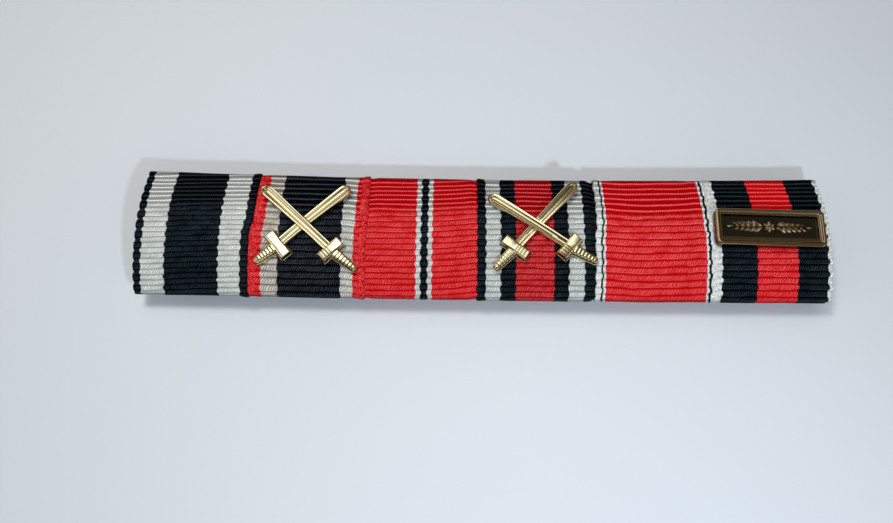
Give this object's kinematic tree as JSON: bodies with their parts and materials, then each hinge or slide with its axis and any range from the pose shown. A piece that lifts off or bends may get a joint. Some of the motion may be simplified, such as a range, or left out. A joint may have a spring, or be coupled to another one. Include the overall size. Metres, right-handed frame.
{
  "type": "ribbon bar",
  "caption": "Arched ribbon bar for uniform wear: striped ribbons folded round a metal plate, with crossed-sword devices, a relief plaque and a brooch pin.",
  "frame": {"origin": "middle of the bar's length and width, at the height where hinge and catch of the brooch pin rest on a surface", "axes": "+X along the bar to the wearer-facing right end, +Y across the ribbons towards the bar's upper edge, +Z out of the ribbon front"},
  "size_m": [0.089, 0.0166, 0.0076],
  "materials": {
    "plate_steel": "dull zinc-grey sheet metal",
    "ribbon_black_white": "ribbed moire ribbon, blue-black with warm white stripes",
    "ribbon_black_white_red": "ribbed ribbon, blue-black with white and red edge stripes",
    "ribbon_red": "ribbed ribbon, bright red with narrow black and white stripes",
    "ribbon_striped": "ribbed ribbon, red middle with black and white side stripes",
    "ribbon_black_red": "ribbed ribbon, black and red thirds with white edges",
    "sword_gold": "pale gilt casting, polished on top",
    "plaque_bronze": "darker gilt casting with a burnished recess",
    "pin_steel": "plain steel wire and strip"
  },
  "bodies": {
    "root": {"bar_plate": "plate_steel", "ribbon_1": "ribbon_black_white", "ribbon_2": "ribbon_black_white_red", "ribbon_3": "ribbon_red", "ribbon_4": "ribbon_striped", "ribbon_5": "ribbon_red", "ribbon_6": "ribbon_black_red", "crossed_swords_left": "sword_gold", "crossed_swords_right": "sword_gold", "plaque": "plaque_bronze", "brooch_pin": "pin_steel"}
  },
  "joints": []
}
